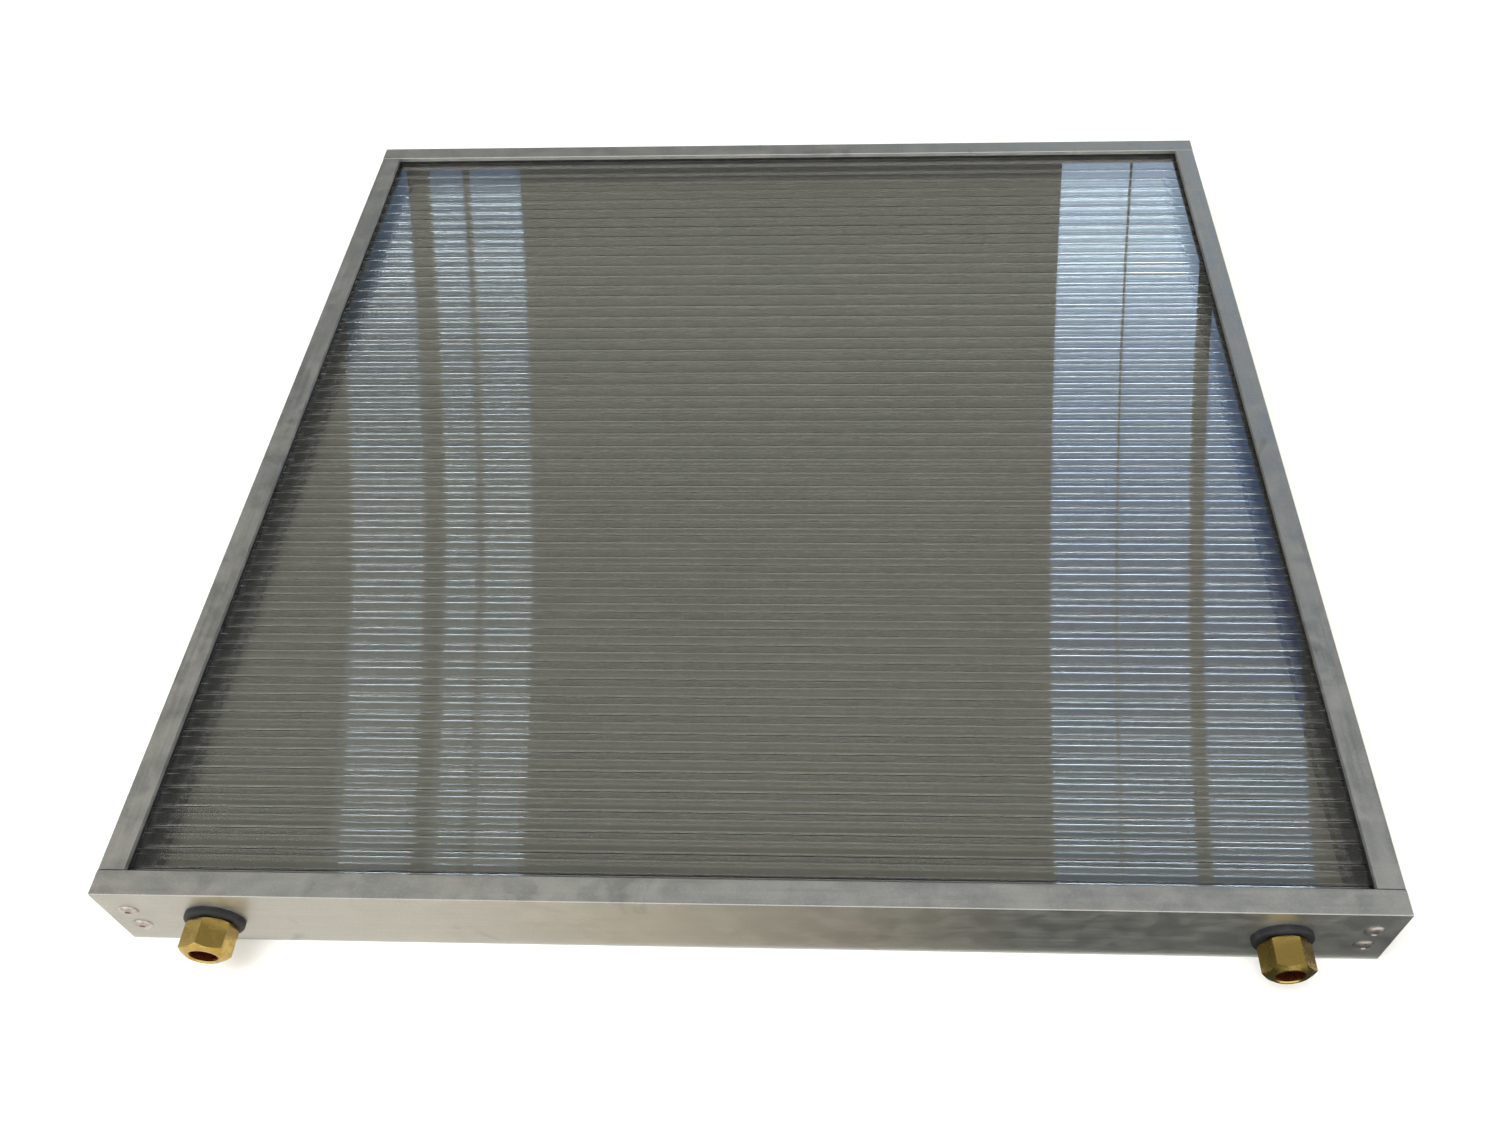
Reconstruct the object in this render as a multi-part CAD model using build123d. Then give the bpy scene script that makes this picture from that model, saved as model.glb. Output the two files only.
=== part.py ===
from build123d import *
import math
import os

# Flat-plate solar water heater: a square collector box of aluminium channel, with a twin-wall
# glazing sheet over a black absorber plate, a copper serpentine under the plate, and two half-inch
# compression ports through the front edge.
#
# Millimetres, +Z up. X runs along the front edge and +Y from the front edge to the back.
# Pieces are drawn with the frame's front face at Y = 0 and its middle at X = 0. save() then moves
# them so that the origin is under the middle of the whole object, at its lowest face.

# ---- box ----
WIDTH = 610.0
DEPTH = 610.0
CHANNEL_HEIGHT = 50.8
CHANNEL_FLANGE = 12.7
CHANNEL_WALL = 3.2
CHANNEL_EDGE_RADIUS = 0.5
JOINT_GAP = 0.2          # between the side channels and the front and back ones
CLEARANCE = 0.5          # past the channel's inner fillets

# ---- stack between the bottom and top flanges ----
BACK_SHEET = 1.0
BOARD_THICKNESS = 15.0
PLATE_THICKNESS = 0.8
GLAZING_THICKNESS = 8.0
GASKET_THICKNESS = 2.0
STACK_INSET = 8.0        # edges of the stack, in from the outer faces
STRIP_WIDTH = 12.0       # edge insulation and glazing supports
END_SEAL = 0.4           # tape over the open ends of the glazing's cells

# ---- twin-wall glazing: cells run along X ----
WEB_PITCH = 11.07
FIRST_WEB = 8.4          # middle of the first web, from the sheet's front edge
SKIN = 0.5
WEB = 0.35
CELL_RADIUS = 1.1

# ---- ports and pipework ----
PORT_X = 253.5           # each side of the middle
PORT_Z = CHANNEL_HEIGHT / 2
NUT_REACH = 19.3         # how far the nuts stand out of the front face
NUT_LENGTH = 15.5
NUT_ACROSS_FLATS = 21.25
NUT_TURN = {"left": 30.0, "right": 10.5}   # a corner's angle from +X, in degrees
NUT_FACE_RADIUS = 8.4                      # flat ring round the pipe hole
NUT_FRONT_CHAMFER = 2.4                    # length along the axis, at a corner
NUT_BACK_CHAMFER = 0.9
NUT_LIP = 1.3                              # length of the pipe hole beyond the cone
PIPE_GAP = 0.35                            # between the nut's pipe hole and the pipe socket
PIPE_SOCKET_RADIUS = 6.4                   # takes a half-inch (12.7 mm) pipe
SOCKET_DEPTH = 15.0
THREAD_RADIUS = 9.2
THREAD_ROOT_RADIUS = 8.5
THREAD_PITCH = 1.5
THREAD_TURNS = 6
RUNNING_GAP = 0.05
TUBE_RADIUS = 5.0
TUBE_WALL = 0.8
RUN_COUNT = 6
STRAP_THICKNESS = 0.8
STRAP_WIDTH = 50.0
GROMMET_RADIUS = 14.2
GROMMET_NECK_RADIUS = 10.2
GROMMET_LIP = 3.4        # outside the web
GROMMET_INNER_LIP = 3.0
PANEL_HOLE_RADIUS = 10.25
NECK_RADIUS = 7.75       # of a port body, inside its grommet
NECK_GROOVE = 0.75       # depth of the circlip's groove
CIRCLIP_THICKNESS = 1.1
CIRCLIP_STAND = 1.9      # how far the circlip stands out of its groove's neck
SEAT_DEPTH = 3.0         # from a port body's mouth to the end of its pipe socket
SEAT_SIZE = 1.3          # radial and axial size of the olive's 45 degree seat
OLIVE_LENGTH = 7.7
OLIVE_WALL = 1.2
OLIVE_CHAMFER = 0.9

# ---- corner joints ----
RIVET_HEAD_RADIUS = 4.75
RIVET_HEAD_HEIGHT = 1.5
RIVET_RADIUS = 2.4
RIVET_TAIL_RADIUS = 3.2
RIVET_TAIL = 2.6
MANDREL_RADIUS = 1.3
RIVET_INSET = 12.0       # front and back faces, in from the corner
SIDE_RIVET_INSET = 20.0  # side faces, clear of the coped ends
RIVET_SPREAD = 8.0       # above and below mid-height
BRACKET_THICKNESS = 1.6
BRACKET_LEG = 26.0
BRACKET_Z = (8.0, 43.0)

# ---- levels and edges worked out from the above ----
FLOOR = CHANNEL_WALL
CEILING = CHANNEL_HEIGHT - CHANNEL_WALL
BOARD_TOP = FLOOR + BACK_SHEET + BOARD_THICKNESS
PLATE_BOTTOM = PORT_Z + TUBE_RADIUS + RUNNING_GAP
PLATE_TOP = PLATE_BOTTOM + PLATE_THICKNESS
GLAZING_TOP = CEILING - GASKET_THICKNESS
GLAZING_BOTTOM = GLAZING_TOP - GLAZING_THICKNESS
FRONT_FACE = (NUT_REACH - DEPTH - RIVET_HEAD_HEIGHT) / 2
MIDDLE_Y = DEPTH / 2
HALF_X = WIDTH / 2
STACK_X = HALF_X - STACK_INSET
STACK_Y = (STACK_INSET, DEPTH - STACK_INSET)
RUN_PITCH = 2 * PORT_X / (RUN_COUNT - 1)
BEND_RADIUS = RUN_PITCH / 2
CUP_RADIUS = TUBE_RADIUS + 1.1          # solder cup on the inner end of each port
CUP_Y = (10.0, 20.0)
NUT_INNER_END = NUT_LENGTH - NUT_REACH
THREAD_END = NUT_INNER_END - THREAD_PITCH * THREAD_TURNS
SIDES = {"left": -1, "right": 1}


def save(name, *pieces):
    """Write one node, moved from where it is drawn to its place about the object's origin."""
    moved = [Pos(0, FRONT_FACE, 0) * piece for piece in pieces]
    shape = moved[0] if len(moved) == 1 else Compound(children=moved)
    export_step(shape, f"parts/{name}.step")


def block(x, y, z):
    """A box between the two limits given on each axis."""
    centre = [(low + high) / 2 for low, high in (x, y, z)]
    return Pos(*centre) * Box(x[1] - x[0], y[1] - y[0], z[1] - z[0])


def turned(points):
    """A closed profile of (radius, y) points, turned about the Y axis."""
    profile = make_face(Polyline(*points, close=True))
    return revolve(profile, axis=Axis.Y)


def at_port(side):
    """The place of a port's axis where it passes through the front face."""
    return Pos(SIDES[side] * PORT_X, 0, PORT_Z)


# ---------------------------------------------------------------- frame

def channel(length):
    """A length of channel along X, about X = 0: its web faces -Y and its open side faces +Y."""
    outline = Pos(CHANNEL_FLANGE / 2, CHANNEL_HEIGHT / 2) * Rectangle(CHANNEL_FLANGE, CHANNEL_HEIGHT)
    hollow = Pos(CHANNEL_WALL + CHANNEL_FLANGE / 2, CHANNEL_HEIGHT / 2) * Rectangle(
        CHANNEL_FLANGE, CHANNEL_HEIGHT - 2 * CHANNEL_WALL
    )
    profile = outline - hollow
    profile = fillet(profile.vertices(), CHANNEL_EDGE_RADIUS)
    return extrude(Plane.YZ * profile, amount=length / 2, both=True)


def rivet_places(face):
    """Where the rivets of one face go, each place's -Y axis pointing out of that face."""
    levels = (PORT_Z - RIVET_SPREAD, PORT_Z + RIVET_SPREAD)
    along = HALF_X - RIVET_INSET
    side_y = (SIDE_RIVET_INSET, DEPTH - SIDE_RIVET_INSET)
    places = {
        "front": [Pos(x, 0, z) for x in (-along, along) for z in levels],
        "back": [Pos(x, DEPTH, z) * Rot(0, 0, 180) for x in (-along, along) for z in levels],
        "left": [Pos(-HALF_X, y, z) * Rot(0, 0, -90) for y in side_y for z in levels],
        "right": [Pos(HALF_X, y, z) * Rot(0, 0, 90) for y in side_y for z in levels],
    }
    return places[face]


def rivet_holes(face):
    """The drilled holes for one face's rivets, through the web and the bracket behind it."""
    depth = CHANNEL_WALL + BRACKET_THICKNESS + 1
    drill = turned([(0, -1), (RIVET_RADIUS + RUNNING_GAP, -1), (RIVET_RADIUS + RUNNING_GAP, depth), (0, depth)])
    return [place * drill for place in rivet_places(face)]


def end_channel(face):
    """The front or back channel, which runs the full width."""
    bar = channel(WIDTH)
    if face == "back":
        bar = Pos(0, DEPTH, 0) * Rot(0, 0, 180) * bar
    return bar - rivet_holes(face)


def front_channel():
    """The front channel, with a hole for each port's grommet."""
    bar = end_channel("front")
    for side in SIDES:
        bar -= at_port(side) * Rot(90, 0, 0) * Cylinder(PANEL_HOLE_RADIUS, 3 * CHANNEL_WALL)
    return bar


def side_channel(side):
    """A side channel: its flanges stop at the end channels and its web reaches in between theirs."""
    length = DEPTH - 2 * (CHANNEL_WALL + CLEARANCE)
    full_section = DEPTH - 2 * (CHANNEL_FLANGE + JOINT_GAP)
    bar = channel(length)
    outside = (-CLEARANCE, CHANNEL_FLANGE + CLEARANCE)
    for end in (-1, 1):
        ends = sorted((end * full_section / 2, end * length))
        bar -= block(ends, outside, (-CLEARANCE, FLOOR + CLEARANCE))
        bar -= block(ends, outside, (CEILING - CLEARANCE, CHANNEL_HEIGHT + CLEARANCE))
    sign = SIDES[side]
    bar = Pos(sign * HALF_X, MIDDLE_Y, 0) * Rot(0, 0, sign * 90) * bar
    return bar - rivet_holes(side)


def corner_bracket(side, end):
    """An angle bracket inside one corner, which the rivets of both faces pull against."""
    web_x = HALF_X - CHANNEL_WALL
    web_y = CHANNEL_WALL
    long_leg = block((-web_x, -web_x + BRACKET_LEG), (web_y, web_y + BRACKET_THICKNESS), BRACKET_Z)
    side_leg = block((-web_x, -web_x + BRACKET_THICKNESS), (web_y, web_y + BRACKET_LEG), BRACKET_Z)
    bracket = long_leg + side_leg
    if side == "right":
        bracket = mirror(bracket, about=Plane.YZ)
    if end == "back":
        bracket = Pos(0, DEPTH, 0) * mirror(bracket, about=Plane.XZ)
    return bracket - rivet_holes(side) - rivet_holes(end)


def rivet():
    """A dome-head blind rivet, set: head outside at -Y, and its upset tail behind the bracket."""
    grip = CHANNEL_WALL + BRACKET_THICKNESS
    hole = MANDREL_RADIUS + RUNNING_GAP
    rim = 0.3            # height of the head's upright rim
    crown = 2.2          # radius of the head's flat crown
    dome = ThreePointArc(
        (RIVET_HEAD_RADIUS, -rim), (3.8, -RIVET_HEAD_HEIGHT + 0.45), (crown, -RIVET_HEAD_HEIGHT)
    )
    rest = Polyline(
        (crown, -RIVET_HEAD_HEIGHT),
        (hole + 0.3, -RIVET_HEAD_HEIGHT),
        (hole, -RIVET_HEAD_HEIGHT + 0.3),
        (hole, grip + RIVET_TAIL),
        (RIVET_TAIL_RADIUS - 0.8, grip + RIVET_TAIL),
        (RIVET_TAIL_RADIUS, grip + RIVET_TAIL / 2),
        (RIVET_TAIL_RADIUS - 0.4, grip),
        (RIVET_RADIUS, grip),
        (RIVET_RADIUS, 0),
        (RIVET_HEAD_RADIUS, 0),
        (RIVET_HEAD_RADIUS, -rim),
    )
    return revolve(make_face(dome + rest), axis=Axis.Y)


def mandrel():
    """What is left of a rivet's steel pin: a broken stub in the head, and its own head on the tail."""
    tail = CHANNEL_WALL + BRACKET_THICKNESS + RIVET_TAIL
    head_radius = 2.1
    head = 0.5
    recess = 0.6         # how far the broken end lies below the rivet's crown
    return turned([
        (0, recess - RIVET_HEAD_HEIGHT - 0.2),
        (MANDREL_RADIUS * 0.6, recess - RIVET_HEAD_HEIGHT),
        (MANDREL_RADIUS, recess - RIVET_HEAD_HEIGHT + 0.2),
        (MANDREL_RADIUS, tail),
        (head_radius, tail),
        (head_radius - 0.4, tail + head),
        (0, tail + head),
    ])


# ---------------------------------------------------------------- glazing

def glazing_sheet():
    """The twin-wall sheet, cut from a longer one: two skins joined by upright webs, open at its edges."""
    span = STACK_Y[1] - STACK_Y[0]
    cell_count = int((span - FIRST_WEB) / WEB_PITCH) + 2
    section = Rectangle(span, GLAZING_THICKNESS)
    cell = Rectangle(WEB_PITCH - WEB, GLAZING_THICKNESS - 2 * SKIN)
    cell = fillet(cell.vertices(), CELL_RADIUS)
    first = FIRST_WEB - WEB_PITCH / 2 - span / 2
    section -= [Pos(first + WEB_PITCH * index, 0) * cell for index in range(cell_count)]
    sheet = extrude(Plane.YZ * section, amount=STACK_X, both=True)
    return Pos(0, MIDDLE_Y, (GLAZING_BOTTOM + GLAZING_TOP) / 2) * sheet


def end_seal(side):
    """The tape that closes the open cells along one side of the glazing."""
    sign = SIDES[side]
    across = sorted((sign * STACK_X, sign * (STACK_X + END_SEAL)))
    return block(across, STACK_Y, (GLAZING_BOTTOM, GLAZING_TOP))


def edge_strips(inset, width, z, gap=0.0):
    """Four strips round the box: the front and back ones run full width, the sides fit between."""
    outer_x = HALF_X - inset
    inner_x = outer_x - width
    outer_y = (inset, DEPTH - inset)
    inner_y = (inset + width + gap, DEPTH - inset - width - gap)
    return {
        "front": block((-outer_x, outer_x), (outer_y[0], outer_y[0] + width), z),
        "back": block((-outer_x, outer_x), (outer_y[1] - width, outer_y[1]), z),
        "left": block((-outer_x, -inner_x), inner_y, z),
        "right": block((inner_x, outer_x), inner_y, z),
    }


def gaskets():
    """Rubber strips between the glazing and the top flanges."""
    inset = CHANNEL_WALL + CLEARANCE
    width = CHANNEL_FLANGE - inset - 0.2
    return edge_strips(inset, width, (GLAZING_TOP, CEILING), gap=JOINT_GAP)


def glazing_supports():
    """Foam strips on the absorber plate that carry the glazing, relieved over the two ports."""
    strips = edge_strips(STACK_INSET, STRIP_WIDTH, (PLATE_TOP, GLAZING_BOTTOM))
    for side in SIDES:
        x = SIDES[side] * PORT_X
        relief = (x - CUP_RADIUS - 1, x + CUP_RADIUS + 1)
        strips["front"] -= block(relief, (0, CUP_Y[1]), (0, PORT_Z + CUP_RADIUS + CLEARANCE))
    return strips


# ---------------------------------------------------------------- absorber and pipework

def absorber_plate():
    """The black plate, notched at its front edge for the two ports."""
    plate = block((-STACK_X, STACK_X), STACK_Y, (PLATE_BOTTOM, PLATE_TOP))
    for side in SIDES:
        x = SIDES[side] * PORT_X
        notch = (x - CUP_RADIUS - 1, x + CUP_RADIUS + 1)
        plate -= block(notch, (0, CUP_Y[1] + 1), (0, CHANNEL_HEIGHT))
    return plate


def run_limits():
    """Where the serpentine's straight runs end: the centres of its front and back bends."""
    clear_of_strips = STACK_INSET + STRIP_WIDTH + BEND_RADIUS + TUBE_RADIUS + 1.5
    return clear_of_strips, DEPTH - clear_of_strips


def copper_serpentine():
    """One tube from port to port, in straight runs and half-circle bends."""
    front, back = run_limits()
    xs = [-PORT_X + RUN_PITCH * index for index in range(RUN_COUNT)]
    start = CUP_Y[0] + 0.1
    path = Line((xs[0], start), (xs[0], back))
    for index in range(RUN_COUNT - 1):
        at_back = index % 2 == 0
        y = back if at_back else front
        bulge = BEND_RADIUS if at_back else -BEND_RADIUS
        middle = (xs[index] + xs[index + 1]) / 2
        path += ThreePointArc((xs[index], y), (middle, y + bulge), (xs[index + 1], y))
        last = index == RUN_COUNT - 2
        far = start if last else (front if at_back else back)
        path += Line((xs[index + 1], y), (xs[index + 1], far))
    section = Circle(TUBE_RADIUS) - Circle(TUBE_RADIUS - TUBE_WALL)
    mouth = Plane(origin=(xs[0], start, 0), x_dir=(1, 0, 0), z_dir=(0, 1, 0))
    return Pos(0, 0, PORT_Z) * sweep(mouth * section, path=path)


def heat_strap(index):
    """A pressed strap that holds one straight run of tube up against the plate."""
    front, back = run_limits()
    inner = TUBE_RADIUS + RUNNING_GAP
    outer = inner + STRAP_THICKNESS
    rise = PLATE_BOTTOM - PORT_Z
    wings = Pos(0, rise - STRAP_THICKNESS / 2) * Rectangle(STRAP_WIDTH, STRAP_THICKNESS)
    shell = Circle(outer) + Pos(0, rise / 2) * Rectangle(2 * outer, rise)
    groove = Circle(inner) + Pos(0, rise) * Rectangle(2 * inner, 2 * rise)
    section = wings + shell - groove
    strap = extrude(Plane.XZ * section, amount=(back - front) / 2, both=True)
    return Pos(-PORT_X + RUN_PITCH * index, MIDDLE_Y, PORT_Z) * strap


def port_body():
    """A brass fitting body: olive seat, thread, neck through the grommet, and solder cup."""
    clip_front, clip_back = circlip_limits()
    groove = NECK_RADIUS - NECK_GROOVE
    neck_end = STACK_INSET - 0.1
    bore_end = THREAD_END + SOCKET_DEPTH
    seat_end = THREAD_END + SEAT_DEPTH
    seat_radius = PIPE_SOCKET_RADIUS + SEAT_SIZE
    lead_in = 0.4
    waterway = TUBE_RADIUS - TUBE_WALL
    points = [
        (PIPE_SOCKET_RADIUS, bore_end),
        (PIPE_SOCKET_RADIUS, seat_end),
        (seat_radius, seat_end - SEAT_SIZE),
        (seat_radius, THREAD_END + lead_in),
        (seat_radius + lead_in, THREAD_END),
    ]
    for turn in range(THREAD_TURNS):
        start = THREAD_END + THREAD_PITCH * turn
        points += [
            (THREAD_ROOT_RADIUS, start + 0.1 * THREAD_PITCH),
            (THREAD_RADIUS, start + 0.45 * THREAD_PITCH),
            (THREAD_RADIUS, start + 0.55 * THREAD_PITCH),
            (THREAD_ROOT_RADIUS, start + 0.9 * THREAD_PITCH),
        ]
    points += [
        (THREAD_ROOT_RADIUS, -GROMMET_LIP),
        (NECK_RADIUS, -GROMMET_LIP),
        (NECK_RADIUS, clip_front - RUNNING_GAP),
        (groove, clip_front - RUNNING_GAP),
        (groove, clip_back + RUNNING_GAP),
        (NECK_RADIUS, clip_back + RUNNING_GAP),
        (NECK_RADIUS, neck_end),
        (CUP_RADIUS, neck_end),
        (CUP_RADIUS, CUP_Y[1]),
        (TUBE_RADIUS + RUNNING_GAP, CUP_Y[1]),
        (TUBE_RADIUS + RUNNING_GAP, CUP_Y[0]),
        (waterway, CUP_Y[0]),
        (waterway, bore_end),
    ]
    return turned(points)


def circlip_limits():
    """The front and back of the circlip, which lies against the grommet's inner lip."""
    front = CHANNEL_WALL + GROMMET_INNER_LIP + RUNNING_GAP
    return front, front + CIRCLIP_THICKNESS


def circlip():
    """The split ring that keeps a port body from being pulled out through its grommet."""
    front, back = circlip_limits()
    inner = NECK_RADIUS - NECK_GROOVE + RUNNING_GAP
    outer = NECK_RADIUS + CIRCLIP_STAND
    half_opening = 3.0
    ring = turned([(inner, front), (outer, front), (outer, back), (inner, back)])
    return ring - block((-half_opening, half_opening), (0, 2 * back), (-2 * outer, 0))


def grommet():
    """A rubber grommet with a rounded outer lip, gripping the front channel's web."""
    inner = NECK_RADIUS + 0.03
    rim_radius = 1.6
    profile = make_face(Polyline(
        (inner, -GROMMET_LIP),
        (GROMMET_RADIUS, -GROMMET_LIP),
        (GROMMET_RADIUS, 0),
        (GROMMET_NECK_RADIUS, 0),
        (GROMMET_NECK_RADIUS, CHANNEL_WALL),
        (GROMMET_RADIUS, CHANNEL_WALL),
        (GROMMET_RADIUS, CHANNEL_WALL + GROMMET_INNER_LIP),
        (inner, CHANNEL_WALL + GROMMET_INNER_LIP),
        close=True,
    ))
    rims = [v for v in profile.vertices() if v.X > GROMMET_NECK_RADIUS + 1 and not 0 <= v.Y <= CHANNEL_WALL]
    return revolve(fillet(rims, rim_radius), axis=Axis.Y)


def olive():
    """The copper compression ring, chamfered at both ends."""
    inner = PIPE_SOCKET_RADIUS + RUNNING_GAP
    outer = inner + OLIVE_WALL
    back = THREAD_END + SEAT_DEPTH - (OLIVE_WALL - OLIVE_CHAMFER) - 2 * RUNNING_GAP
    front = back - OLIVE_LENGTH
    return turned([
        (inner, front),
        (outer - OLIVE_CHAMFER, front),
        (outer, front + OLIVE_CHAMFER),
        (outer, back - OLIVE_CHAMFER),
        (outer - OLIVE_CHAMFER, back),
        (inner, back),
    ])


def compression_nut(side):
    """A hexagon nut, chamfered at both ends and bored for the thread, the olive and the pipe."""
    corner = NUT_ACROSS_FLATS / math.sqrt(3)
    flat = NUT_ACROSS_FLATS / 2
    bore = THREAD_RADIUS + RUNNING_GAP
    pipe_hole = PIPE_SOCKET_RADIUS + PIPE_GAP
    cone = bore - pipe_hole
    edge_break = 0.6
    front = -NUT_REACH
    back = NUT_INNER_END
    hexagon = RegularPolygon(corner, 6)
    prism = extrude(Plane.XZ * Rot(0, 0, NUT_TURN[side]) * hexagon, amount=NUT_REACH)
    envelope = turned([
        (pipe_hole + edge_break, front),
        (NUT_FACE_RADIUS, front),
        (corner, front + NUT_FRONT_CHAMFER),
        (corner, back - NUT_BACK_CHAMFER),
        (flat, back),
        (bore + edge_break, back),
        (bore, back - edge_break),
        (bore, front + NUT_LIP + cone),
        (pipe_hole, front + NUT_LIP),
        (pipe_hole, front + edge_break),
    ])
    return prism & envelope


# ---------------------------------------------------------------- insulation and back

def edge_insulation():
    """Foam strips between the board and the plate, the front one parted at the two ports."""
    strips = edge_strips(STACK_INSET, STRIP_WIDTH, (BOARD_TOP, PLATE_BOTTOM))
    for side in SIDES:
        x = SIDES[side] * PORT_X
        gap = (x - CUP_RADIUS - 1, x + CUP_RADIUS + 1)
        strips["front"] -= block(gap, (0, CUP_Y[1]), (0, CHANNEL_HEIGHT))
    return strips


def back_sheet():
    """The thin back, lying on the bottom flanges."""
    inset = CHANNEL_WALL + CLEARANCE
    half = HALF_X - inset
    return block((-half, half), (inset, DEPTH - inset), (FLOOR, FLOOR + BACK_SHEET))


def main():
    os.makedirs("parts", exist_ok=True)

    save("frame_front", front_channel())
    save("frame_back", end_channel("back"))
    for side in SIDES:
        save(f"frame_{side}", side_channel(side))
        for end in ("front", "back"):
            save(f"corner_bracket_{end}_{side}", corner_bracket(side, end))
    stubs = []
    for face in ("front", "back", "left", "right"):
        save(f"rivets_{face}", *[place * rivet() for place in rivet_places(face)])
        stubs += [place * mandrel() for place in rivet_places(face)]
    save("rivet_mandrels", *stubs)

    save("back_sheet", back_sheet())
    save("insulation_board", block((-STACK_X, STACK_X), STACK_Y, (FLOOR + BACK_SHEET, BOARD_TOP)))
    save("absorber_plate", absorber_plate())
    save("copper_serpentine", copper_serpentine())
    for index in range(RUN_COUNT):
        save(f"heat_strap_{index + 1}", heat_strap(index))
    save("glazing_sheet", glazing_sheet())
    strip_sets = {
        "edge_insulation": edge_insulation(),
        "glazing_support": glazing_supports(),
        "glazing_gasket": gaskets(),
    }
    for name, strips in strip_sets.items():
        for face, strip in strips.items():
            save(f"{name}_{face}", strip)

    for side in SIDES:
        save(f"glazing_end_seal_{side}", end_seal(side))
        save(f"grommet_{side}", at_port(side) * grommet())
        save(f"port_body_{side}", at_port(side) * port_body())
        save(f"port_circlip_{side}", at_port(side) * circlip())
        save(f"olive_{side}", at_port(side) * olive())
        save(f"compression_nut_{side}", at_port(side) * compression_nut(side))


main()
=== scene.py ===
import bpy
import math
from mathutils import Matrix, Vector


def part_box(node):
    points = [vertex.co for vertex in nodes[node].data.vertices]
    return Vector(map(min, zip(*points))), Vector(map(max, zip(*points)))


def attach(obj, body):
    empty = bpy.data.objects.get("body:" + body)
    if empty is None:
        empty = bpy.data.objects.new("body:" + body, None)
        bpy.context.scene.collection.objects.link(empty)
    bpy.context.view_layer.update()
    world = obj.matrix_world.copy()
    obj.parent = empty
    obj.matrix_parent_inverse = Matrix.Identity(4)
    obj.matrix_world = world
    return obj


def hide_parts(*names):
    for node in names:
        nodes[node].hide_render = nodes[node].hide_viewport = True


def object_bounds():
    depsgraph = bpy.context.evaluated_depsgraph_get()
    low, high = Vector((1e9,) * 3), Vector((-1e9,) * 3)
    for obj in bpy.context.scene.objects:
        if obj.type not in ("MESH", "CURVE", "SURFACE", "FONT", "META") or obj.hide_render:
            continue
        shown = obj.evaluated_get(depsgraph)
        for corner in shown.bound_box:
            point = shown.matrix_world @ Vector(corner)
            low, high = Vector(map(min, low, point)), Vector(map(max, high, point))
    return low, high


# A flat-plate solar water heater: aluminium channel box, ribbed twin-wall glazing over a black
# absorber, and two brass compression ports. The CAD nodes stay and get their materials here. The
# glazing is rebuilt with its real skins, webs and fillets, so that it bends and mirrors light.

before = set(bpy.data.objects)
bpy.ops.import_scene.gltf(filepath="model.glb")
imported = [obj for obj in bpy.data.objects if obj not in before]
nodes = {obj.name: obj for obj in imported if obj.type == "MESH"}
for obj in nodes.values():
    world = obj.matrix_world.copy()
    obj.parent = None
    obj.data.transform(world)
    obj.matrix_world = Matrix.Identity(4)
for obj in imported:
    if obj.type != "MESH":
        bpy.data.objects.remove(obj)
scene = bpy.context.scene
cad_low, cad_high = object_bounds()

MM = 0.001
front_low, front_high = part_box("frame_front")
glazing_low, glazing_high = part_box("glazing_sheet")
TOP = front_high.z
FRONT = front_low.y


# ---------------------------------------------------------------- node helpers

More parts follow.
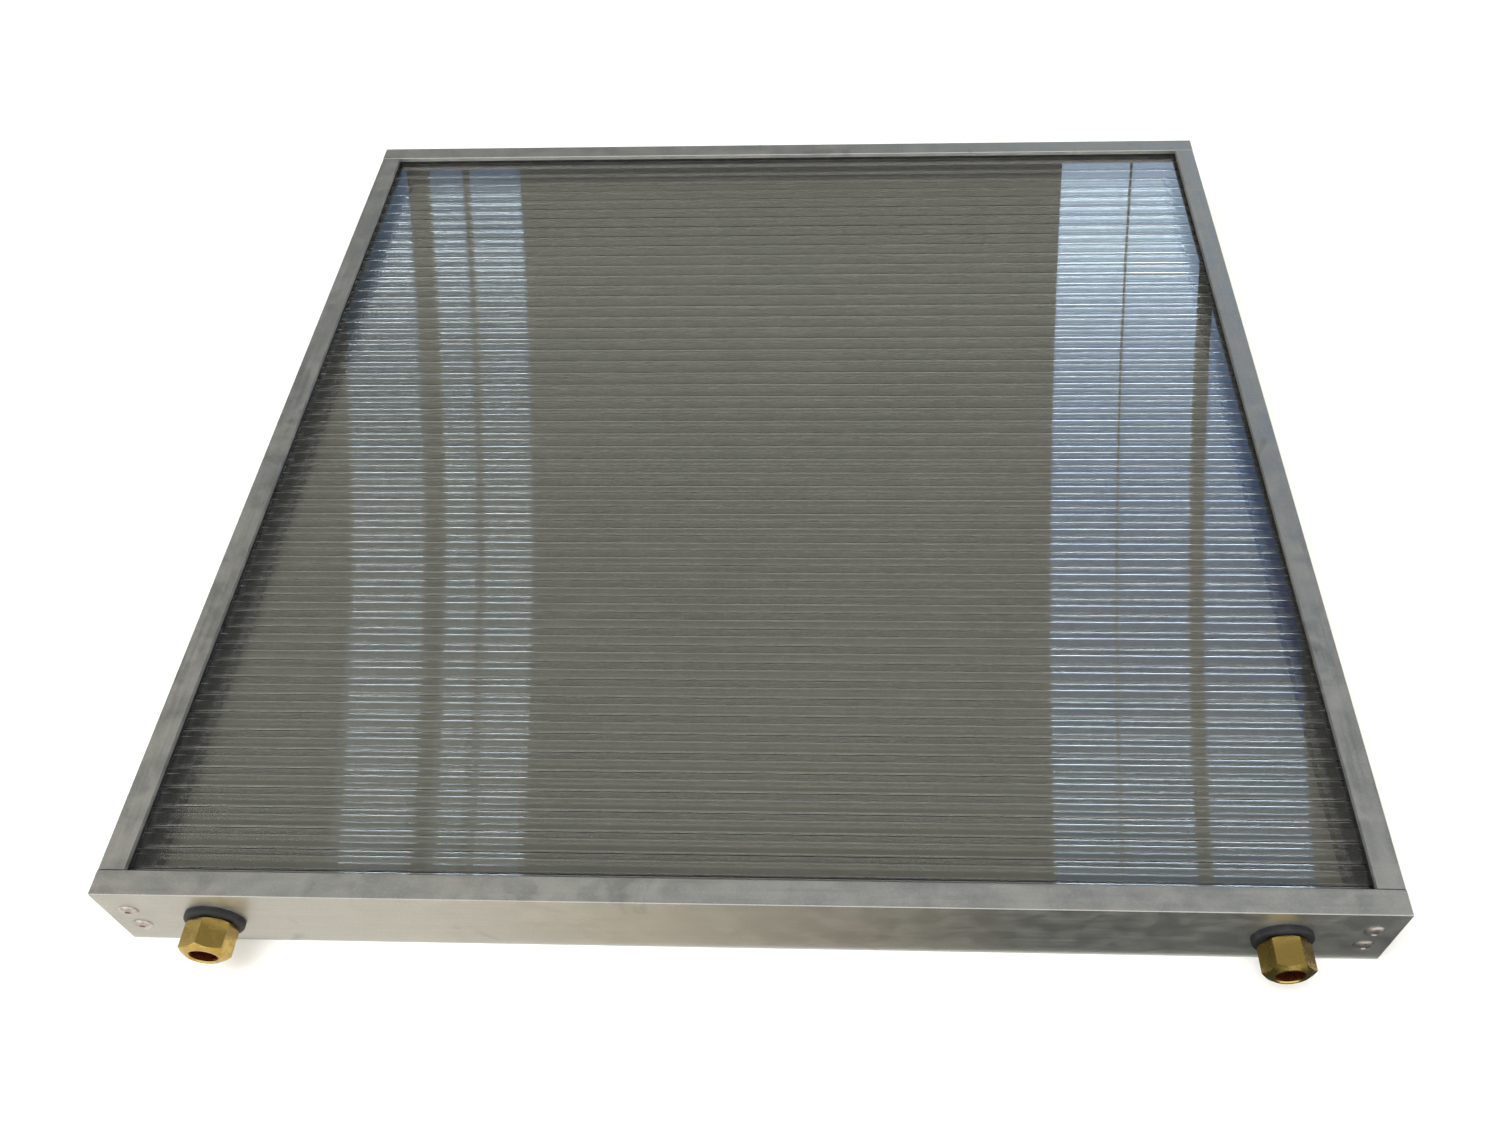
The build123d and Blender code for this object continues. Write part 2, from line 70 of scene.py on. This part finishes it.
class Shader:
    """Builds one procedural material round its Principled node."""

    def __init__(self, name):
        self.material = bpy.data.materials.new(name)
        self.material.use_nodes = True
        self.tree = self.material.node_tree
        self.surface = self.tree.nodes["Principled BSDF"]
        self.place = self.tree.nodes.new("ShaderNodeTexCoord").outputs["Object"]

    def add(self, kind, **settings):
        node = self.tree.nodes.new(kind)
        for key, value in settings.items():
            setattr(node, key, value)
        return node

    def put(self, socket, value):
        """Links a node's output to a socket, or sets a plain value on it."""
        if isinstance(value, bpy.types.NodeSocket):
            self.tree.links.new(value, socket)
        else:
            socket.default_value = value

    def set(self, **inputs):
        for key, value in inputs.items():
            self.put(self.surface.inputs[key.replace("_", " ")], value)

    def stretched(self, scale):
        """Object coordinates in metres, times a scale on each axis."""
        node = self.add("ShaderNodeMapping")
        self.put(node.inputs["Vector"], self.place)
        node.inputs["Scale"].default_value = scale
        return node.outputs["Vector"]

    def noise(self, size_mm, detail=3.0, roughness=0.5, along=(1, 1, 1), distortion=0.0):
        """Noise whose features are size_mm across, drawn out along each axis by the given factors."""
        node = self.add("ShaderNodeTexNoise")
        scale = [1000.0 / size_mm / factor for factor in along]
        self.put(node.inputs["Vector"], self.stretched(scale))
        node.inputs["Scale"].default_value = 1.0
        node.inputs["Detail"].default_value = detail
        node.inputs["Roughness"].default_value = roughness
        node.inputs["Distortion"].default_value = distortion
        return node.outputs["Fac"]

    def cells(self, size_mm, along=(1, 1, 1)):
        """Distance to the nearest of many scattered points, as a share of size_mm."""
        node = self.add("ShaderNodeTexVoronoi")
        scale = [1000.0 / size_mm / factor for factor in along]
        self.put(node.inputs["Vector"], self.stretched(scale))
        node.inputs["Scale"].default_value = 1.0
        return node.outputs["Distance"]

    def ramp(self, value, low, high, start=0.0, end=1.0):
        """Value from low..high turned smoothly into start..end."""
        node = self.add("ShaderNodeMapRange", interpolation_type="SMOOTHSTEP")
        self.put(node.inputs["Value"], value)
        node.inputs["From Min"].default_value = low
        node.inputs["From Max"].default_value = high
        node.inputs["To Min"].default_value = start
        node.inputs["To Max"].default_value = end
        return node.outputs["Result"]

    def blend(self, share, first, second):
        """A colour between first and second."""
        node = self.add("ShaderNodeMix", data_type="RGBA")
        self.put(node.inputs["Factor"], share)
        self.put(node.inputs[6], colour(first))
        self.put(node.inputs[7], colour(second))
        return node.outputs[2]

    def math(self, operation, first, second):
        node = self.add("ShaderNodeMath", operation=operation)
        self.put(node.inputs[0], first)
        self.put(node.inputs[1], second)
        return node.outputs[0]

    def bump(self, height, depth_mm, under=None, strength=1.0):
        node = self.add("ShaderNodeBump")
        node.inputs["Strength"].default_value = strength
        node.inputs["Distance"].default_value = depth_mm * MM
        self.put(node.inputs["Height"], height)
        if under is not None:
            self.put(node.inputs["Normal"], under)
        return node.outputs["Normal"]


def colour(value):
    """Three numbers as an opaque colour; a socket passes through."""
    if isinstance(value, bpy.types.NodeSocket):
        return value
    return (*value, 1.0)


def dress(material, *names):
    """Gives CAD nodes a material in place of their plain one."""
    for name in names:
        slots = nodes[name].data.materials
        if not slots:
            slots.append(material)
        for index in range(len(slots)):
            slots[index] = material


def named(prefix):
    return sorted(name for name in nodes if name.startswith(prefix))


# ---------------------------------------------------------------- materials

def mill_aluminium(name, length_axis):
    """Dull extruded aluminium: die lines along the bar, a fine grain, faint smudges and scratches."""
    s = Shader(name)
    drawn = [1, 1, 1]
    drawn[length_axis] = 60
    fine_drawn = [1, 1, 1]
    fine_drawn[length_axis] = 25
    die_lines = s.noise(1.6, detail=4, roughness=0.7, along=drawn)
    grain = s.noise(0.9, detail=3, roughness=0.65)
    mottle = s.noise(14, detail=5, roughness=0.6, distortion=0.4)
    patch = s.noise(95, detail=3, roughness=0.55)
    scratches = s.noise(2.4, detail=2, roughness=0.5, along=fine_drawn, distortion=0.6)
    smudge = s.ramp(s.noise(34, detail=4, roughness=0.62, distortion=1.1), 0.60, 0.74)
    base = s.blend(s.ramp(mottle, 0.35, 0.66), (0.40, 0.405, 0.39), (0.48, 0.475, 0.45))
    base = s.blend(s.ramp(patch, 0.38, 0.64, 0.0, 0.55), base, (0.43, 0.44, 0.43))
    base = s.blend(s.ramp(grain, 0.46, 0.70, 0.0, 0.5), base, (0.57, 0.565, 0.545))
    base = s.blend(s.math("MULTIPLY", smudge, 0.42), base, (0.25, 0.24, 0.22))
    rough = s.ramp(mottle, 0.30, 0.70, 0.40, 0.54)
    rough = s.math("ADD", rough, s.ramp(die_lines, 0.35, 0.65, -0.05, 0.06))
    normal = s.bump(die_lines, 0.012, strength=0.35)
    normal = s.bump(grain, 0.010, under=normal, strength=0.45)
    normal = s.bump(s.ramp(scratches, 0.72, 0.80), 0.02, under=normal, strength=0.3)
    s.set(Base_Color=base, Metallic=0.95, Roughness=rough, Normal=normal)
    return s.material


def sheet_aluminium(name, tone=0.62):
    """Rolled sheet with a soft directional grain."""
    s = Shader(name)
    rolled = s.noise(1.2, detail=4, roughness=0.7, along=(1, 45, 1))
    cloud = s.noise(60, detail=4, roughness=0.55)
    base = s.blend(s.ramp(cloud, 0.35, 0.65), (tone * 0.9, tone * 0.91, tone * 0.92), (tone, tone, tone))
    base = s.blend(s.ramp(rolled, 0.4, 0.62, 0.0, 0.4), base, (tone * 1.12, tone * 1.12, tone * 1.1))
    s.set(Base_Color=base, Metallic=1.0, Roughness=s.ramp(rolled, 0.3, 0.7, 0.30, 0.42))
    s.set(Normal=s.bump(rolled, 0.01, strength=0.3))
    return s.material


def brass():
    """Turned brass: fine tool marks round the axis, warm and darker tarnish in patches."""
    s = Shader("brass")
    turning = s.noise(0.5, detail=2, roughness=0.6, along=(40, 1, 40))
    tarnish = s.noise(5, detail=4, roughness=0.6, distortion=0.8)
    spots = s.noise(1.1, detail=3, roughness=0.6)
    base = s.blend(s.ramp(tarnish, 0.34, 0.70), (0.52, 0.37, 0.11), (0.40, 0.28, 0.075))
    base = s.blend(s.ramp(spots, 0.62, 0.78, 0.0, 0.35), base, (0.30, 0.19, 0.07))
    rough = s.ramp(tarnish, 0.35, 0.7, 0.18, 0.36)
    normal = s.bump(turning, 0.008, strength=0.4)
    s.set(Base_Color=base, Metallic=1.0, Roughness=rough, Normal=normal)
    return s.material


def copper(name, bright, dark, patch_mm):
    """Copper, from bright metal to dull brown oxide in patches; the olives' darker, redder colours are
    painted shade.
    """
    s = Shader(name)
    oxide = s.noise(patch_mm, detail=4, roughness=0.6, distortion=0.7)
    drawn = s.noise(0.5, detail=2, roughness=0.6, along=(1, 20, 1))
    base = s.blend(s.ramp(oxide, 0.36, 0.66), bright, dark)
    s.set(Base_Color=base, Metallic=1.0, Roughness=s.ramp(oxide, 0.35, 0.7, 0.22, 0.45))
    s.set(Normal=s.bump(drawn, 0.006, strength=0.4))
    return s.material


def rubber(name, tone, dust=0.25):
    """Moulded black rubber with a fine matte skin and pale dust in patches."""
    s = Shader(name)
    skin = s.noise(0.45, detail=3, roughness=0.6)
    cloud = s.noise(6, detail=4, roughness=0.6)
    black = (tone, tone * 1.03, tone * 1.15)
    base = s.blend(s.ramp(cloud, 0.45, 0.75, 0.0, dust), black, (0.16, 0.16, 0.155))
    s.set(Base_Color=base, Roughness=s.ramp(cloud, 0.3, 0.7, 0.45, 0.66), Specular_IOR_Level=0.22)
    s.set(Normal=s.bump(skin, 0.02, strength=0.5))
    return s.material


def foam():
    """Closed-cell black foam strip."""
    s = Shader("black_foam")
    cell = s.cells(1.1)
    cloud = s.noise(9, detail=3)
    base = s.blend(s.ramp(cell, 0.1, 0.6), (0.035, 0.035, 0.035), (0.018, 0.018, 0.018))
    base = s.blend(s.ramp(cloud, 0.5, 0.8, 0.0, 0.3), base, (0.07, 0.07, 0.065))
    s.set(Base_Color=base, Roughness=s.ramp(cell, 0.0, 0.6, 0.8, 0.95))
    s.set(Normal=s.bump(cell, 0.25, strength=0.6))
    return s.material


def absorber_paint():
    """Matt black selective paint on the plate, slightly uneven, with a fine orange peel."""
    s = Shader("absorber_paint")
    peel = s.noise(1.6, detail=3, roughness=0.55)
    cloud = s.noise(70, detail=4, roughness=0.6, distortion=0.5)
    streak = s.noise(9, detail=3, roughness=0.6, along=(1, 14, 1))
    base = s.blend(s.ramp(cloud, 0.35, 0.68), (0.074, 0.076, 0.062), (0.086, 0.086, 0.070))
    base = s.blend(s.ramp(streak, 0.5, 0.75, 0.0, 0.35), base, (0.096, 0.093, 0.078))
    s.set(Base_Color=base, Roughness=s.ramp(cloud, 0.3, 0.7, 0.55, 0.70), Specular_IOR_Level=0.35)
    s.set(Normal=s.bump(peel, 0.03, strength=0.5))
    return s.material


def clear_sheet():
    """Clear extruded polycarbonate: a little warm, with faint draw lines along its ribs."""
    s = Shader("clear_polycarbonate")
    drawn = s.noise(3.0, detail=3, roughness=0.6, along=(60, 1, 1))
    haze = s.noise(40, detail=4, roughness=0.6)
    s.set(Base_Color=(0.985, 0.985, 0.975, 1.0), Transmission_Weight=1.0, IOR=1.57)
    s.set(Roughness=s.ramp(haze, 0.35, 0.7, 0.0, 0.012))
    s.set(Normal=s.bump(drawn, 0.01, strength=0.004))
    return s.material


def mandrel_steel():
    s = Shader("mandrel_steel")
    rust = s.noise(1.2, detail=3, roughness=0.6)
    base = s.blend(s.ramp(rust, 0.42, 0.62), (0.30, 0.28, 0.26), (0.20, 0.09, 0.05))
    s.set(Base_Color=base, Metallic=0.9, Roughness=s.ramp(rust, 0.4, 0.7, 0.35, 0.6))
    s.set(Normal=s.bump(rust, 0.05, strength=0.5))
    return s.material


def rivet_aluminium():
    """Rivet heads: brighter than the frame, with darker brownish patches."""
    s = Shader("rivet_aluminium")
    grain = s.noise(0.7, detail=3, roughness=0.6)
    cloud = s.noise(3.5, detail=3, roughness=0.6)
    base = s.blend(s.ramp(cloud, 0.35, 0.65), (0.52, 0.50, 0.48), (0.34, 0.29, 0.27))
    s.set(Base_Color=base, Metallic=0.9, Roughness=s.ramp(grain, 0.3, 0.7, 0.26, 0.42))
    s.set(Normal=s.bump(grain, 0.03, strength=0.4))
    return s.material


def insulation_facing():
    """Crinkled foil facing over the board."""
    s = Shader("insulation_facing")
    crinkle = s.cells(16)
    fine = s.noise(2.5, detail=3)
    base = s.blend(s.ramp(fine, 0.4, 0.65), (0.72, 0.70, 0.62), (0.60, 0.58, 0.50))
    s.set(Base_Color=base, Metallic=0.6, Roughness=s.ramp(fine, 0.3, 0.7, 0.35, 0.6))
    s.set(Normal=s.bump(crinkle, 0.4, strength=0.5))
    return s.material


def dress_cad():
    along_x = mill_aluminium("mill_aluminium_x", 0)
    along_y = mill_aluminium("mill_aluminium_y", 1)
    dress(along_x, "frame_front", "frame_back")
    dress(along_y, "frame_left", "frame_right")
    dress(sheet_aluminium("bracket_sheet", 0.58), *named("corner_bracket"))
    dress(sheet_aluminium("strap_sheet", 0.66), *named("heat_strap"))
    dress(sheet_aluminium("back_sheet", 0.60), "back_sheet")
    dress(sheet_aluminium("foil_tape", 0.70), *named("glazing_end_seal"))
    dress(rivet_aluminium(), *[f"rivets_{face}" for face in ("front", "back", "left", "right")])
    steel = mandrel_steel()
    dress(steel, "rivet_mandrels", *named("port_circlip"))
    dress(absorber_paint(), "absorber_plate")
    dress(insulation_facing(), "insulation_board")
    dress(foam(), *named("glazing_support"), *named("edge_insulation"))
    dress(rubber("gasket_rubber", 0.012, dust=0.12), *named("glazing_gasket"))
    dress(rubber("grommet_rubber", 0.016, dust=0.10), *named("grommet"))
    dress(brass(), *named("compression_nut"), *named("port_body"))
    dress(copper("tube_copper", (0.72, 0.36, 0.22), (0.40, 0.17, 0.09), 12), "copper_serpentine")
    # the olives' copper is darker and redder than the tube's: painted shade for the shadow inside the nuts,
    # over real oxide patches
    dress(copper("olive_copper", (0.52, 0.17, 0.10), (0.22, 0.05, 0.03), 3), *named("olive"))


# ---------------------------------------------------------------- glazing

SHEET_TOP = glazing_high.z
SHEET_UNDERSIDE = glazing_low.z
WEB_PITCH = 11.07 * MM
WEB_COUNT = 53
FIRST_WEB = 8.4 * MM     # middle of the first web, from the sheet's front edge
SKIN = 0.5 * MM
WEB = 0.35 * MM
FILLET = 1.1 * MM        # inside each cell's corners
SKIN_SAG = 0.03 * MM     # the skins draw in a little between webs
RIB_DENT = 0.02 * MM     # and dip over each web
FILLET_STEPS = 8
SKIN_STEPS = 14
FLAT_START = 0.1 * MM    # a point just past each fillet keeps the flats' shading flat
SHARP_ANGLE = math.radians(35)


def skin_dip(y):
    """How far a skin's outer face lies in from flat."""
    share = ((y - glazing_low.y - FIRST_WEB) / WEB_PITCH) % 1.0
    sag = SKIN_SAG * math.sin(math.pi * share) ** 2
    dent = RIB_DENT * math.exp(-((min(share, 1 - share) / 0.05) ** 2))
    return sag + dent


def corner(y, z, start, turn):
    """A fillet's points round its centre, from a start angle through a quarter turn either way."""
    angles = [math.radians(start + turn * step / FILLET_STEPS) for step in range(FILLET_STEPS + 1)]
    return [(y + FILLET * math.cos(angle), z + FILLET * math.sin(angle)) for angle in angles]


def glazing_sheet():
    """The twin-wall sheet's section, filled and drawn out along X: skins, webs and rounded cells."""
    front, back = glazing_low.y, glazing_high.y
    cell_low, cell_high = SHEET_UNDERSIDE + SKIN, SHEET_TOP - SKIN
    upper, lower = cell_high - FILLET, cell_low + FILLET
    outline = bpy.data.curves.new("glazing_outline", "CURVE")
    outline.dimensions = "2D"
    outline.fill_mode = "BOTH"
    outline.extrude = (glazing_high.x - glazing_low.x) / 2

    def ring(points):
        spline = outline.splines.new("POLY")
        spline.points.add(len(points) - 1)
        for point, (y, z) in zip(spline.points, points):
            point.co = (y, z, 0, 1)
        spline.use_cyclic_u = True

    step = WEB_PITCH / SKIN_STEPS
    places = [front + step * (index + 1) for index in range(int((back - front) / step) - 1)]
    top = [(y, SHEET_TOP - skin_dip(y)) for y in places]
    underside = [(y, SHEET_UNDERSIDE + skin_dip(y)) for y in reversed(places)]
    # the cells cut open at the sheet's front and back edges
    first = front + FIRST_WEB - WEB / 2 - FILLET
    last = front + FIRST_WEB + WEB_PITCH * (WEB_COUNT - 1) + WEB / 2 + FILLET
    open_back = [(back, SHEET_TOP), (back, cell_high)]
    open_back += corner(last, upper, 90, 90) + corner(last, lower, 180, 90)
    open_back += [(back, cell_low), (back, SHEET_UNDERSIDE)]
    open_front = [(front, SHEET_UNDERSIDE), (front, cell_low)]
    open_front += corner(first, lower, 270, 90) + corner(first, upper, 0, 90)
    open_front += [(front, cell_high), (front, SHEET_TOP)]
    ring(top + open_back + underside + open_front)

    for cell in range(WEB_COUNT - 1):
        left = front + FIRST_WEB + WEB_PITCH * cell + WEB / 2 + FILLET
        right = left + WEB_PITCH - WEB - 2 * FILLET
        points = corner(right, upper, 0, 90)
        points += [(right - FLAT_START, cell_high), (left + FLAT_START, cell_high)]
        points += corner(left, upper, 90, 90) + corner(left, lower, 180, 90)
        points += [(left + FLAT_START, cell_low), (right - FLAT_START, cell_low)]
        points += corner(right, lower, 270, 90)
        ring(points)

    drawn = bpy.data.objects.new("glazing_drawn", outline)
    scene.collection.objects.link(drawn)
    mesh = bpy.data.meshes.new_from_object(drawn.evaluated_get(bpy.context.evaluated_depsgraph_get()))
    bpy.data.objects.remove(drawn)
    # the curve's x, y, z are the object's y, z, x
    turn = Matrix(((0, 0, 1, 0), (1, 0, 0, 0), (0, 1, 0, 0), (0, 0, 0, 1)))
    mesh.transform(turn)
    mesh.polygons.foreach_set("use_smooth", [True] * len(mesh.polygons))
    mesh.set_sharp_from_angle(angle=SHARP_ANGLE)
    sheet = bpy.data.objects.new("twin_wall_sheet", mesh)
    scene.collection.objects.link(sheet)
    mesh.materials.clear()
    mesh.materials.append(clear_sheet())
    sheet.visible_shadow = False
    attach(sheet, "collector")
    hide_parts("glazing_sheet")
    return sheet


# ---------------------------------------------------------------- studio

CAMERA_FROM_EDGE = Vector((0.05145, -0.24054, 0.54719))  # from the middle of the front top edge
CAMERA_PITCH = math.radians(51.456)
CAMERA_ROLL = math.radians(0.2435)
CAMERA_YAW = math.radians(-2.606)
CAMERA_LENS = 30.333
CAMERA_SHIFT = (-0.02744, 0.00647)


def camera():
    data = bpy.data.cameras.new("camera")
    data.sensor_width = 36.0
    data.lens = CAMERA_LENS
    data.shift_x, data.shift_y = CAMERA_SHIFT
    data.clip_start = 0.02
    data.clip_end = 100.0
    eye = bpy.data.objects.new("camera", data)
    scene.collection.objects.link(eye)
    pitch = Matrix.Rotation(CAMERA_PITCH, 4, "X")
    roll = Matrix.Rotation(CAMERA_ROLL, 4, "Y")
    yaw = Matrix.Rotation(CAMERA_YAW, 4, "Z")
    to_camera = yaw @ roll @ pitch
    level = Matrix.Rotation(math.radians(90), 4, "X")
    place = Matrix.Translation(Vector((0, FRONT, TOP)) + CAMERA_FROM_EDGE)
    eye.matrix_world = place @ to_camera.inverted() @ level
    scene.camera = eye


def card(name, points, faces, light, through_only=False):
    """A staged card for mirrors and clear pieces, or clear pieces only, its light given at each point."""
    s = Shader(name)
    s.tree.nodes.remove(s.surface)
    glow = s.add("ShaderNodeEmission")
    lit = s.add("ShaderNodeAttribute", attribute_name="light")
    s.put(glow.inputs["Color"], lit.outputs["Color"])
    s.put(s.tree.nodes["Material Output"].inputs["Surface"], glow.outputs["Emission"])
    mesh = bpy.data.meshes.new(name)
    mesh.from_pydata(points, [], faces)
    attribute = mesh.attributes.new("light", "FLOAT_COLOR", "POINT")
    for item, value in zip(attribute.data, light):
        item.color = colour(value)
    mesh.materials.append(s.material)
    panel = bpy.data.objects.new(name, mesh)
    scene.collection.objects.link(panel)
    panel.visible_camera = False
    panel.visible_diffuse = False
    panel.visible_shadow = False
    panel.visible_glossy = not through_only


WINDOW_DISTANCE = 40.0
# each pane's two edges, as the share of its direction that points along +X
PANES = {
    "left": ((-0.374, -0.325), (-0.310, -0.2875), (-0.2825, -0.247)),
    "right": ((0.160, 0.2085), (0.2105, 0.2615), (0.272, 0.338)),
}
# light at each height above the horizon in degrees: the dim upper panes, and the bright outdoors
WINDOW_LIGHT = {
    "left": (
        (30, (0.50, 0.65, 0.90)), (34, (0.32, 0.50, 0.75)), (39, (0.20, 0.26, 0.34)),
        (44, (0.12, 0.17, 0.22)), (51, (0.26, 0.29, 0.30)), (76, (0.32, 0.32, 0.30)),
    ),
    "right": (
        (30, (1.90, 2.30, 2.90)), (34, (1.30, 1.75, 2.30)), (37, (1.25, 1.70, 2.20)),
        (42, (0.48, 0.70, 1.12)), (47, (0.24, 0.42, 0.78)), (53, (0.17, 0.24, 0.48)),
        (60, (0.14, 0.20, 0.33)), (76, (0.14, 0.19, 0.25)),
    ),
}
OUTDOOR_LIGHT = {
    "left": ((14, (6.0, 7.2, 8.4)), (30, (8.5, 10.0, 11.5))),
    "right": ((14, (9.0, 10.8, 12.6)), (30, (13.0, 15.5, 17.5))),
}


def window(name, panes, heights, through_only):
    """Upright strips on a far cylinder along X, so each edge keeps one share of its direction."""
    points, faces, light = [], [], []
    for edges in panes:
        start = len(points)
        for degrees, value in heights:
            angle = math.radians(degrees)
            for share in edges:
                x = WINDOW_DISTANCE * share / math.sqrt(1 - share * share)
                points.append((x, WINDOW_DISTANCE * math.cos(angle), WINDOW_DISTANCE * math.sin(angle)))
                light.append(value)
        for row in range(len(heights) - 1):
            at = start + 2 * row
            faces.append((at, at + 1, at + 3, at + 2))
    card(name, points, faces, light, through_only)


def windows():
    """Two far windows behind the object, which the glazing mirrors as bright bands across its ribs."""
    for side, panes in PANES.items():
        window(f"window_{side}", panes, WINDOW_LIGHT[side], through_only=False)
        window(f"outdoors_{side}", panes, OUTDOOR_LIGHT[side], through_only=True)


# the light the front face mirrors off the table before it: cream at the left, dark at the right
TABLE_GLOW = (
    (-0.40, (1.16, 1.09, 0.98)), (-0.16, (1.08, 1.00, 0.85)), (-0.05, (0.78, 0.69, 0.53)),
    (0.05, (0.38, 0.33, 0.24)), (0.14, (0.085, 0.09, 0.08)), (0.40, (0.085, 0.09, 0.085)),
)
TABLE_GLOW_DEPTH = 0.5
TABLE_GLOW_LIFT = 0.5 * MM   # over the floor
TABLE_GLOW_GAP = 1 * MM      # before the front face


def table_glow():
    points, light = [], []
    height = cad_low.z + TABLE_GLOW_LIFT
    for x, value in TABLE_GLOW:
        for y in (FRONT - TABLE_GLOW_DEPTH, FRONT - TABLE_GLOW_GAP):
            points.append((x, y, height))
            light.append(value)
    faces = [(at, at + 2, at + 3, at + 1) for at in range(0, len(points) - 2, 2)]
    card("table_glow", points, faces, light)


def area_light(name, place, target, size, power, tint):
    data = bpy.data.lights.new(name, "AREA")
    data.shape = "RECTANGLE"
    data.size, data.size_y = size
    data.energy = power
    data.color = tint
    lamp = bpy.data.objects.new(name, data)
    lamp.location = place
    lamp.rotation_euler = (Vector(target) - Vector(place)).to_track_quat("-Z", "Y").to_euler()
    scene.collection.objects.link(lamp)
    return lamp


# the room's light at each angle over the object, from its back edge (0) up and over to its front (180)
ROOM_LIGHT = (
    (-180, (0.60, 0.59, 0.56)), (-90, (0.40, 0.39, 0.37)), (0, (0.50, 0.49, 0.46)), (22, (0.50, 0.49, 0.46)),
    (31, (0.17, 0.17, 0.15)), (64, (0.17, 0.165, 0.14)), (82, (1.02, 1.00, 0.94)), (112, (1.55, 1.53, 1.46)),
    (180, (1.55, 1.53, 1.46)),
)


def room_light():
    world = bpy.data.worlds.new("room_light")
    world.use_nodes = True
    tree = world.node_tree
    direction = tree.nodes.new("ShaderNodeTexCoord")
    parts = tree.nodes.new("ShaderNodeSeparateXYZ")
    angle = tree.nodes.new("ShaderNodeMath")
    angle.operation = "ARCTAN2"
    turn = tree.nodes.new("ShaderNodeMapRange")
    turn.inputs["From Min"].default_value = -math.pi
    turn.inputs["From Max"].default_value = math.pi
    light = tree.nodes.new("ShaderNodeValToRGB")
    stops = light.color_ramp.elements
    while len(stops) < len(ROOM_LIGHT):
        stops.new(1.0)
    for stop, (degrees, value) in zip(stops, ROOM_LIGHT):
        stop.position = (degrees + 180) / 360
        stop.color = colour(value)
    tree.links.new(direction.outputs["Generated"], parts.inputs["Vector"])
    tree.links.new(parts.outputs["Z"], angle.inputs[0])
    tree.links.new(parts.outputs["Y"], angle.inputs[1])
    tree.links.new(angle.outputs["Value"], turn.inputs["Value"])
    tree.links.new(turn.outputs["Result"], light.inputs["Fac"])
    tree.links.new(light.outputs["Color"], tree.nodes["Background"].inputs["Color"])
    scene.world = world


FLOOR_HALF = 4.0
FLOOR_DROP = 0.2 * MM    # keeps the floor clear of the underside
KEY_PLACE = (-1.5, -1.0, 4.5)
KEY_SIZE = (3.0, 3.0)
KEY_POWER = 140
KEY_TINT = (1.0, 0.99, 0.97)


def studio():
    room_light()
    s = Shader("floor_paper")
    tooth = s.noise(1.5, detail=3)
    cloud = s.noise(400, detail=3)
    s.set(Base_Color=s.blend(s.ramp(cloud, 0.3, 0.7), (0.93, 0.93, 0.925), (0.91, 0.91, 0.905)))
    s.set(Roughness=0.9, Specular_IOR_Level=0.2, Normal=s.bump(tooth, 0.03, strength=0.2))
    half = FLOOR_HALF
    corners = [(-half, -half, 0), (half, -half, 0), (half, half, 0), (-half, half, 0)]
    mesh = bpy.data.meshes.new("floor")
    mesh.from_pydata(corners, [], [(0, 1, 2, 3)])
    mesh.materials.append(s.material)
    floor = bpy.data.objects.new("floor", mesh)
    floor.location.z = cad_low.z - FLOOR_DROP
    scene.collection.objects.link(floor)

    key = area_light("key", KEY_PLACE, (0, 0, 0), KEY_SIZE, KEY_POWER, KEY_TINT)
    key.visible_glossy = False
    key.visible_transmission = False
    windows()
    table_glow()
    scene.view_settings.view_transform = "Standard"


dress_cad()
glazing_sheet()
camera()
studio()
